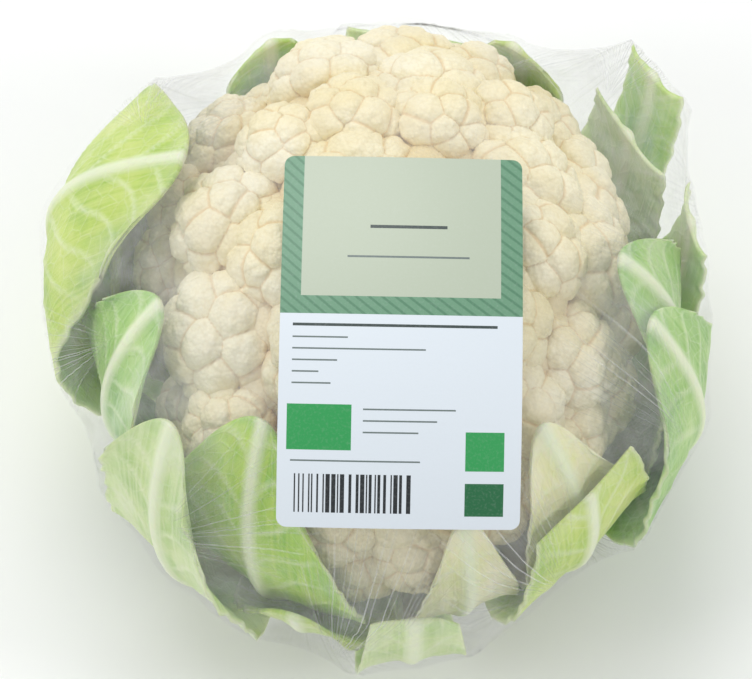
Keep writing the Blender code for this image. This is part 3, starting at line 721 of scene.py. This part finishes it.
def make_leaf_finish(name, middle, light, dark, roughness):
    """Make the finish of waxy leaf skin in one set of colours."""
    made, tree, shader = new_material(f"waxy_leaf_{name}", roughness)
    stored = {key: add_node(tree, "ShaderNodeAttribute", attribute_name=key).outputs["Fac"]
              for key in ("across", "along", "rib", "vein", "share", "column")}
    flat = add_node(tree, "ShaderNodeCombineXYZ", {"X": stored["across"], "Y": stored["along"]}).outputs["Vector"]
    place = add_node(tree, "ShaderNodeTexCoord").outputs["Object"]
    patches = add_node(tree, "ShaderNodeTexNoise", {"Vector": place, "Scale": 1 / LEAF_PATCH, "Detail": 5.0,
                                                    "Roughness": 0.6}).outputs["Fac"]
    net = add_node(tree, "ShaderNodeTexVoronoi", {"Vector": flat, "Scale": 1 / NET_CELL},
                   feature="DISTANCE_TO_EDGE", voronoi_dimensions="2D").outputs["Distance"]
    stretched = add_node(tree, "ShaderNodeMapping", {"Vector": flat, "Scale": (1 / LINE_ACROSS, 1 / LINE_ALONG, 1)})
    lines = add_node(tree, "ShaderNodeTexNoise", {"Vector": stretched.outputs["Vector"], "Scale": 1.0,
                                                  "Detail": 3.0}, noise_dimensions="2D").outputs["Fac"]
    edge = add_node(tree, "ShaderNodeMath", {0: stored["column"], 1: 14.0}, operation="POWER").outputs["Value"]
    colour = tint(tree, linear(middle), linear(light), patches, 0.50, 0.68)
    colour = tint(tree, colour, linear(dark), patches, 0.50, 0.32)
    colour = tint(tree, colour, linear(light), lines, 0.40, 0.72, 0.55)
    colour = tint(tree, colour, linear(PALE_RIB), net, 0.06, 0.0, 0.22)
    colour = tint(tree, colour, linear(PALE_RIB), stored["vein"], 0.15, 0.9, 0.42)
    colour = tint(tree, colour, linear(PALE_RIB), stored["rib"], 0.25, 0.9, 0.9)
    colour = tint(tree, colour, linear(PALE_STALK), stored["share"], 0.50, 0.15, 0.85)
    colour = tint(tree, colour, linear(PALE_RIB), edge, 0.3, 1.0, 0.6)
    tree.links.new(colour, shader.inputs["Base Color"])
    raised = add_node(tree, "ShaderNodeMapRange", {"Value": net, "From Min": 0.12, "From Max": 0.0})
    veined = add_node(tree, "ShaderNodeBump", {"Height": raised.outputs["Result"], "Strength": 0.22,
                                               "Distance": 0.0004})
    lined = add_node(tree, "ShaderNodeBump", {"Height": lines, "Strength": 0.35, "Distance": 0.0003,
                                              "Normal": veined.outputs["Normal"]})
    tree.links.new(lined.outputs["Normal"], shader.inputs["Normal"])
    shader.inputs["Subsurface Weight"].default_value = 0.35
    shader.inputs["Subsurface Radius"].default_value = (0.7, 1.0, 0.3)
    shader.inputs["Subsurface Scale"].default_value = 0.0025
    return made


leaf_finishes = {name: make_leaf_finish(name, *look) for name, look in LEAF_COLOURS.items()}
for leaf in LEAVES:
    stand_for(leaf_pieces[leaf[0]], leaf[0], leaf_finishes[leaf[-1]])
print("leaf finishes", sorted(leaf_finishes))

# %% [markdown]
# ## The stem
#
# The head was cut off with one stroke, so the stem ends in a flat, moist face with a pale pith inside
# a fibrous ring, and its side has the scars of leaves that were pulled off. It starts as a cylinder:
# a bevel softens the cut edge, and the side is pushed in at the scars. The face's rings are only in its finish.

# %% Model the stem
STEM_HEIGHT = 0.034
STEM_FACE = 0.0198
STEM_SIDE = 0.0229
SCARS = 7

bpy.ops.object.select_all(action="DESELECT")
bpy.ops.mesh.primitive_cylinder_add(vertices=96, radius=1.0, depth=1.0, location=(0, 0, 0), end_fill_type="NGON")
stem = bpy.context.object
stem.name = stem.data.name = "stem_stump"
edit_all(stem)
bpy.ops.mesh.bevel(offset=0.045, segments=4, affect="EDGES")
for level in np.linspace(-0.42, 0.42, 22):
    bpy.ops.mesh.select_all(action="SELECT")
    bpy.ops.mesh.bisect(plane_co=(0, 0, float(level)), plane_no=(0, 0, 1))
finish_editing()
shape = points_of(stem)
up = shape[:, 2] + 0.5
angle = np.arctan2(shape[:, 1], shape[:, 0])
radius = np.hypot(shape[:, 0], shape[:, 1])
scar = np.sin(SCARS * angle + 9 * up) * np.sin(math.tau * 2.5 * up + 2 * angle)
wide = STEM_FACE + (STEM_SIDE - STEM_FACE) * smooth(up / 0.16) - 0.0012 * smooth((up - 0.6) / 0.4)
wide = wide - 0.0005 * np.clip(scar, 0, 1) * smooth(up / 0.1) * smooth((1 - up) / 0.1)
shape[:, 0] = radius * wide * np.cos(angle)
shape[:, 1] = radius * wide * np.sin(angle)
shape[:, 2] = up * STEM_HEIGHT
move_points(stem, shape)
print("stem faces", len(stem.data.polygons))

# %% The stem's finish
stem_flesh, tree, shader = new_material("moist_cut_stem", 0.45)
place = add_node(tree, "ShaderNodeTexCoord").outputs["Object"]
apart = add_node(tree, "ShaderNodeSeparateXYZ", {"Vector": place})
from_axis = add_node(tree, "ShaderNodeCombineXYZ", {"X": apart.outputs["X"], "Y": apart.outputs["Y"]})
radius = add_node(tree, "ShaderNodeVectorMath", {0: from_axis.outputs["Vector"]}, operation="LENGTH").outputs["Value"]
fibres = add_node(tree, "ShaderNodeTexNoise", {"Vector": place, "Scale": 1 / 0.0016, "Detail": 4.0}).outputs["Fac"]
blotches = add_node(tree, "ShaderNodeTexNoise", {"Vector": place, "Scale": 1 / 0.010, "Detail": 3.0}).outputs["Fac"]
colour = tint(tree, linear("#EEF0D6"), linear("#CBD69C"), radius, 0.0125, 0.0145)
colour = tint(tree, colour, linear("#DCE4B6"), radius, 0.0165, 0.0190)
colour = tint(tree, colour, linear("#C9A873"), blotches, 0.55, 0.75, 0.6)
colour = tint(tree, colour, linear("#B9C58A"), fibres, 0.5, 0.75, 0.4)
tree.links.new(colour, shader.inputs["Base Color"])
grooves = add_node(tree, "ShaderNodeBump", {"Height": fibres, "Strength": 0.4, "Distance": 0.0004})
tree.links.new(grooves.outputs["Normal"], shader.inputs["Normal"])
stand_for(stem, "stem", stem_flesh, flat_edges=True)

# %% [markdown]
# ## The wrap
#
# The film is one thin sheet pulled over the head and gathered under it. Pulled film touches only what
# stands out, and goes straight from one such place to the next. So a fine ball is laid round the head
# and every point is pulled towards the mean of its neighbours, again and again, but never below what
# lies under it. Cloth simulation would need far more time for the same shape. How far the film hangs
# off the head is stored, because loose film looks milk-white. The finish paints that white in, mostly
# as painted reflection, with a little of the film's own cloudiness.

# %% Pull the film tight
FILM_WALL = 0.0003
FILM_CLEARANCE = 0.0011
FILM_HOLE = math.radians(27)
FILM_FLOOR = 0.0012
FILM_PULLS = 500
FILM_START = 0.004
FILM_UNDER = -0.3
PROBE_FROM = 0.2


def head_under(directions):
    """Return how far out the wrapped solids reach along each direction."""
    corners, faces = [], []
    for name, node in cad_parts.items():
        if name in ("film", "label"):
            continue
        start = len(corners)
        corners.extend(v.co for v in node.data.vertices)
        faces.extend([start + i for i in face.vertices] for face in node.data.polygons)
    tree = BVHTree.FromPolygons(corners, faces)
    reach = []
    for direction in directions:
        way = Vector(direction)
        distance = tree.ray_cast(CENTRE + way * PROBE_FROM, -way)[3]
        reach.append(PROBE_FROM - distance if distance is not None else 0.0)
    return np.array(reach)


def neighbours_of(thing):
    """Return each edge of an object both ways round, and how many edges each point has."""
    flat = np.empty(len(thing.data.edges) * 2, dtype=np.int32)
    thing.data.edges.foreach_get("vertices", flat)
    ends = flat.reshape(-1, 2)
    both = np.concatenate([ends, ends[:, ::-1]])
    return both, np.bincount(both[:, 0], minlength=len(thing.data.vertices))


def mean_of_neighbours(values, ends, number):
    """Return for each point the mean of its neighbours' values."""
    columns = [np.bincount(ends[:, 0], values[ends[:, 1], k], minlength=len(number)) for k in range(3)]
    return np.stack(columns, axis=1) / number[:, None]


bpy.ops.object.select_all(action="DESELECT")
bpy.ops.mesh.primitive_ico_sphere_add(subdivisions=7, radius=1.0)
film = bpy.context.object
film.name = film.data.name = "film_sheet"
ways = points_of(film)
ways /= np.linalg.norm(ways, axis=1, keepdims=True)
ends, number = neighbours_of(film)
under = head_under(ways)
least = under.copy()
for _ in range(2):
    np.maximum.at(least, ends[:, 0], least[ends[:, 1]])
least += FILM_CLEARANCE
floor_reach = (CENTRE.z - FILM_FLOOR) / np.clip(-ways[:, 2], 1e-6, None)
in_hole = ways[:, 2] < -math.cos(FILM_HOLE)
least[in_hole] = floor_reach[in_hole]
low = ways[:, 2] < FILM_UNDER
least[low] = np.minimum(least, floor_reach)[low]
reach = least + FILM_START
for _ in range(FILM_PULLS):
    pulled = np.sum(mean_of_neighbours(ways * reach[:, None], ends, number) * ways, axis=1)
    reach = np.maximum(least, pulled)
print("film points", len(ways), "widest", round(float(reach.max()), 4))

# %% [markdown]
# ## Wrinkles in the wrap
#
# Where the film is pulled over a hard corner it wrinkles in straight lines that fan out from that
# corner. Each fan below starts at a corner of a leaf and runs one way. For each point of the film the
# angle round the fan's corner is stored, so that the finish can paint thin straight creases along the
# fan as white lines of painted highlight, and the larger of them are really raised.

# %% Fans of wrinkles and loose film
# Each fan: azimuth and height angle of its corner, the way it runs, its spread and length, in degrees
FANS = (
    (38, 24, 300, 60, 46), (152, 26, 215, 55, 50), (200, 20, 250, 60, 42), (232, 10, 30, 70, 40),
    (262, -8, 80, 75, 36), (300, -6, 120, 70, 40), (330, 4, 95, 60, 44), (350, 18, 60, 50, 36),
    (128, 42, 330, 60, 34), (60, 36, 250, 50, 34), (90, 8, 200, 80, 46), (15, -12, 60, 80, 40),
    (100, -30, 160, 90, 44), (180, -24, 90, 90, 40), (250, -40, 0, 120, 40), (320, -36, 60, 120, 40),
)
CREASES_IN_A_TURN = 42
WRINKLE_HEIGHT = 0.00045
FAN_STARTS = 0.06
FAN_APART = 7.0
LOOSE_BLURS = 6
LOOSE_FROM, LOOSE_TO = 0.0012, 0.0100


def fan_at(corner, running, spread, length):
    """Return the angle round a fan's corner and the fan's strength at every point of the film."""
    azimuth, height = np.radians(corner)
    up = np.array([math.cos(azimuth) * math.cos(height), math.sin(azimuth) * math.cos(height), math.sin(height)])
    east = np.array([-math.sin(azimuth), math.cos(azimuth), 0.0])
    north = np.cross(up, east)
    off = np.arccos(np.clip(ways @ up, -1, 1))
    angle = np.arctan2(ways @ north, ways @ east) - math.radians(running)
    angle = (angle + math.pi) % math.tau - math.pi
    side = 1 - smooth(np.abs(angle) / math.radians(spread))
    strength = side * smooth(off / FAN_STARTS) * (1 - smooth(off / math.radians(length)))
    return angle, strength


angle_round = np.zeros(len(ways))
creased = np.zeros(len(ways))
for number_of_fan, (azimuth, height, running, spread, length) in enumerate(FANS):
    angle, strength = fan_at((azimuth, height), running, spread, length)
    stronger = strength > creased
    creased[stronger] = strength[stronger]
    angle_round[stronger] = angle[stronger] + FAN_APART * number_of_fan
folds = np.sin(angle_round * CREASES_IN_A_TURN) + 0.6 * np.sin(angle_round * CREASES_IN_A_TURN * 1.73 + 1.0)
reach = reach + WRINKLE_HEIGHT * creased * np.maximum(folds, 0)
loose = smooth((reach - under - LOOSE_FROM) / (LOOSE_TO - LOOSE_FROM))
for _ in range(LOOSE_BLURS):
    loose = np.bincount(ends[:, 0], loose[ends[:, 1]], minlength=len(number)) / number
move_points(film, np.array(CENTRE) + ways * reach[:, None])
for name, values in (("angle_round", angle_round), ("creased", creased), ("loose", loose)):
    keep_values(film, name, values)
print("fans", len(FANS), "loose share", round(float(loose.mean()), 3))

# %% [markdown]
# ## The film's edge
#
# Under the head the sheet ends in a ring round the stem. The points in that ring are taken away, and
# Solidify gives the film its two sides. Real film is about 0.03 mm thick, which no mesh this fine can
# hold, so it is 0.3 mm here.

# %% Open the film under the stem
edit_all(film)
bpy.ops.mesh.select_all(action="DESELECT")
finish_editing()
for vertex, inside in zip(film.data.vertices, in_hole):
    vertex.select = bool(inside)
bpy.ops.object.mode_set(mode="EDIT")
bpy.ops.mesh.select_mode(type="VERT")
bpy.ops.mesh.delete(type="VERT")
finish_editing()
add_modifier(film, "SOLIDIFY", thickness=FILM_WALL, offset=-1.0)
print("film faces", len(film.data.polygons))

# %% [markdown]
# ## What film looks like
#
# Tight film on the curd is nearly unseen. Where it hangs loose or is doubled it looks milk-white, and
# each crease is a thin white line, because it catches the lamps. So the film is clear, with white
# painted into it: a whitish veil set by the stored looseness, which is mostly painted reflection of the
# room with a little of the film's own cloudiness, and creases along the fans, which are painted
# highlights. It shines: film is a glossy plastic with an IOR of about 1.5, and mirrors more at flat angles.

# %% The film's finish
CREASE_LINES = 34.0
RIPPLE = 0.006

clear_film, tree, shader = new_material("clear_cling_film", 0.16)
place = add_node(tree, "ShaderNodeTexCoord").outputs["Object"]
turned_by = add_node(tree, "ShaderNodeAttribute", attribute_name="angle_round").outputs["Fac"]
strength = add_node(tree, "ShaderNodeAttribute", attribute_name="creased").outputs["Fac"]
slack = add_node(tree, "ShaderNodeAttribute", attribute_name="loose").outputs["Fac"]
wobble = add_node(tree, "ShaderNodeTexNoise", {"Vector": place, "Scale": 1 / 0.02, "Detail": 2.0}).outputs["Fac"]
bent = add_node(tree, "ShaderNodeMath", {0: wobble, 1: 0.05, 2: turned_by}, operation="MULTIPLY_ADD")
creases = add_node(tree, "ShaderNodeTexNoise", {"W": bent.outputs["Value"], "Scale": CREASE_LINES, "Detail": 4.0,
                                                "Roughness": 0.7}, noise_dimensions="1D").outputs["Fac"]
# Painted highlights: thin white lines along the creases, where the film would catch the lamps.
thin = add_node(tree, "ShaderNodeMapRange", {"Value": creases, "From Min": 0.53, "From Max": 0.66})
line = add_node(tree, "ShaderNodeMath", {0: thin.outputs["Result"], 1: strength}, operation="MULTIPLY")
ripples = add_node(tree, "ShaderNodeTexNoise", {"Vector": place, "Scale": 1 / RIPPLE, "Detail": 3.0}).outputs["Fac"]
# Painted reflection: where the film hangs loose it gets a white layer for the room mirrored in it, with a little of
# the film's own cloudiness.
milky_sheen = add_node(tree, "ShaderNodeMapRange", {"Value": slack, "From Max": 1.0, "To Min": 0.010, "To Max": 0.11})
cloudy = add_node(tree, "ShaderNodeMapRange", {"Value": ripples, "From Min": 0.3, "From Max": 0.7,
                                               "To Min": 0.7, "To Max": 1.3})
haze_and_sheen = add_node(tree, "ShaderNodeMath", {0: milky_sheen.outputs["Result"], 1: cloudy.outputs["Result"]},
                operation="MULTIPLY")
alpha = add_node(tree, "ShaderNodeMath", {0: line.outputs["Value"], 1: 0.36, 2: haze_and_sheen.outputs["Value"]},
                 operation="MULTIPLY_ADD", use_clamp=True)
shader.inputs["Base Color"].default_value = linear("#FDFEFE")
tree.links.new(alpha.outputs["Value"], shader.inputs["Alpha"])
soft = add_node(tree, "ShaderNodeBump", {"Height": ripples, "Strength": 0.35, "Distance": 0.0015})
hard = add_node(tree, "ShaderNodeBump", {"Height": line.outputs["Value"], "Strength": 0.6, "Distance": 0.0008,
                                         "Normal": soft.outputs["Normal"]})
tree.links.new(hard.outputs["Normal"], shader.inputs["Normal"])
stand_for(film, "film", clear_film)

# %% [markdown]
# ## The label
#
# A paper label with round corners is stuck on the film over the curd. It is a plane with bevelled
# corners, cut along every line of its print with bisect, so the print has sharp edges at any size.
# Then it is laid on the film as one gently curved sheet, which is how stiff paper lies on bumps.

# %% Cut the label
LABEL_HALF = (0.0297, 0.0457)
LABEL_THICKNESS = 0.0002
LABEL_CORNER = 0.0024
LABEL_SHIFT = (0.0034, -0.0083)
LABEL_CELL = 0.003
PANEL_BOTTOM = 0.0063
FRAME_BOTTOM = 0.0107
FRAME_SIDES = (-0.0247, 0.0243)
# The blocks of plain ink: left, right, bottom, top and ink
BLOCKS = (
    (-0.0275, -0.0118, -0.0268, -0.0157, "block"), (0.0160, 0.0255, -0.0315, -0.0220, "block"),
    (0.0160, 0.0255, -0.0425, -0.0345, "deep"),
)
BAR_FIELD = (-0.0255, 0.0048, -0.0420, -0.0326)
BAR_WIDTHS = (0.00035, 0.0007, 0.00105)
# The rules: left end, right end, middle height and thickness
RULES = (
    (-0.0265, 0.0235, 0.0036, 0.0007), (-0.0265, -0.0130, 0.0006, 0.0004), (-0.0265, 0.0060, -0.0022, 0.0004),
    (-0.0265, -0.0155, -0.0050, 0.0004), (-0.0265, -0.0200, -0.0078, 0.0004), (-0.0265, -0.0170, -0.0106, 0.0004),
    (-0.0090, 0.0135, -0.0168, 0.0004), (-0.0090, 0.0090, -0.0196, 0.0004), (-0.0090, 0.0045, -0.0224, 0.0004),
    (-0.0265, 0.0050, -0.0294, 0.0004), (-0.0080, 0.0110, 0.0280, 0.0008), (-0.0135, 0.0165, 0.0205, 0.0005),
)


def bars():
    """Return the left and right end of each bar of the block, uneven and seeded."""
    rng = random.Random(31)
    x, found = BAR_FIELD[0], []
    while x < BAR_FIELD[1] - max(BAR_WIDTHS):
        wide = rng.choice(BAR_WIDTHS)
        found.append((x, x + wide))
        x += wide + rng.choice(BAR_WIDTHS)
    return found


def cut_lines(marks, cell, half):
    """Return where to cut: at every mark, and at even steps that aren't close to one."""
    steps = np.arange(-half + cell / 2, half, cell)
    return sorted(set(marks)) + [x for x in steps if min(abs(x - m) for m in marks) > cell / 4]


bar_ends = bars()
across_marks = list(FRAME_SIDES) + [x for bar in bar_ends for x in bar] + [x for rule in RULES for x in rule[:2]]
across_marks += [x for block in BLOCKS for x in block[:2]]
up_marks = [PANEL_BOTTOM, FRAME_BOTTOM, *BAR_FIELD[2:]] + [y for block in BLOCKS for y in block[2:4]]
up_marks += [rule[2] + side * rule[3] / 2 for rule in RULES for side in (-1, 1)]
bpy.ops.object.select_all(action="DESELECT")
bpy.ops.mesh.primitive_plane_add(size=2.0)
label = bpy.context.object
label.name = label.data.name = "label_paper"
move_points(label, points_of(label) * np.array([*LABEL_HALF, 1.0]))
edit_all(label)
bpy.ops.mesh.bevel(offset=LABEL_CORNER, segments=8, affect="VERTICES")
for normal, marks, half in (((1, 0, 0), across_marks, LABEL_HALF[0]), ((0, 1, 0), up_marks, LABEL_HALF[1])):
    for mark in cut_lines(marks, LABEL_CELL, half):
        bpy.ops.mesh.select_all(action="SELECT")
        bpy.ops.mesh.bisect(plane_co=tuple(c * float(mark) for c in normal), plane_no=normal)
finish_editing()
print("label faces", len(label.data.polygons), "bars", len(bar_ends))

# %% [markdown]
# ## The print
#
# The print is plain: a sage panel in a striped green frame above, and below it thin grey rules, three
# green blocks and a field of uneven bars. Each face looks up its ink by its place and stores it as a
# colour, before the label is bent, and the paper's finish reads that colour. The frame's faces are
# marked too, and the finish draws fine slanting stripes on them.

# %% Print and lay the label
INKS = {"paper": "#E2EAF1", "sage": "#BCC6B2", "frame": "#6F9C7E", "rule": "#6E7A78", "bold": "#3E4A48",
        "block": "#2F9E55", "deep": "#1F6B40", "bar": "#23282B"}
STRIPE_EVERY = 0.0016
# One wave of the wave texture is this long at scale 1
WAVE_TURN = math.tau / 20


def ink_at(x, y):
    """Return the name of the ink at a place on the flat label."""
    if y > PANEL_BOTTOM:
        inner = FRAME_SIDES[0] < x < FRAME_SIDES[1] and y > FRAME_BOTTOM
        ink = "sage" if inner else "frame"
    else:
        ink = "paper"
    for left, right, middle, thick in RULES:
        if left < x < right and abs(y - middle) < thick / 2:
            ink = "bold" if thick > 0.0006 else "rule"
    for left, right, bottom, top, filled in BLOCKS:
        if left < x < right and bottom < y < top:
            ink = filled
    if BAR_FIELD[2] < y < BAR_FIELD[3] and any(left < x < right for left, right in bar_ends):
        ink = "bar"
    return ink


def curved(points):
    """Return the terms of a gently curved surface at each flat point."""
    x, y = np.array(points).T[:2]
    return np.stack([np.ones_like(x), x, y, x * x, x * y, y * y], axis=1)


def sheet_under_label(points):
    """Return the heights of the solid label's inner face at some flat points, as a gentle curve."""
    solid = points_of(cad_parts["label"]) - np.array(CENTRE)
    across, up, out = (np.array(way) for way in label_frame())
    flat = np.stack([solid @ across - LABEL_SHIFT[0], solid @ up - LABEL_SHIFT[1]], axis=1)
    fit = np.linalg.lstsq(curved(flat), solid @ out, rcond=None)[0]
    return curved(points) @ fit - LABEL_THICKNESS / 2


label.data.attributes.new("ink", "FLOAT_COLOR", "CORNER")
label.data.attributes.new("striped", "FLOAT", "CORNER")
ink_layer, striped_layer = label.data.attributes["ink"], label.data.attributes["striped"]
for face in label.data.polygons:
    ink = ink_at(face.center.x, face.center.y)
    for corner in face.loop_indices:
        ink_layer.data[corner].color = linear(INKS[ink])
        striped_layer.data[corner].value = 1.0 if ink == "frame" else 0.0
add_modifier(label, "SOLIDIFY", thickness=LABEL_THICKNESS, offset=1.0)
flat = points_of(label)
heights = sheet_under_label(flat[:, :2]) + flat[:, 2]
across, up, out = (np.array(way) for way in label_frame())
laid = np.array(CENTRE) + np.outer(flat[:, 0] + LABEL_SHIFT[0], across) + np.outer(flat[:, 1] + LABEL_SHIFT[1], up)
move_points(label, laid + np.outer(heights, out))

label_paper, tree, shader = new_material("coated_label_paper", 0.38)
place = add_node(tree, "ShaderNodeTexCoord").outputs["Object"]
ink = add_node(tree, "ShaderNodeAttribute", attribute_name="ink").outputs["Color"]
striped = add_node(tree, "ShaderNodeAttribute", attribute_name="striped").outputs["Fac"]
wave = add_node(tree, "ShaderNodeTexWave", {"Vector": place, "Scale": WAVE_TURN / STRIPE_EVERY},
                bands_direction="DIAGONAL").outputs["Fac"]
stripe = add_node(tree, "ShaderNodeMath", {0: wave, 1: striped}, operation="MULTIPLY").outputs["Value"]
fibre = add_node(tree, "ShaderNodeTexNoise", {"Vector": place, "Scale": 1 / 0.0006, "Detail": 3.0}).outputs["Fac"]
colour = tint(tree, ink, linear("#4F7F62"), stripe, 0.70, 0.90, 0.75)
colour = tint(tree, colour, linear("#D9DEDD"), fibre, 0.5, 0.9, 0.12)
tree.links.new(colour, shader.inputs["Base Color"])
tooth = add_node(tree, "ShaderNodeBump", {"Height": fibre, "Strength": 0.15, "Distance": 0.0001})
tree.links.new(tooth.outputs["Normal"], shader.inputs["Normal"])
stand_for(label, "label", label_paper, flat_edges=True)
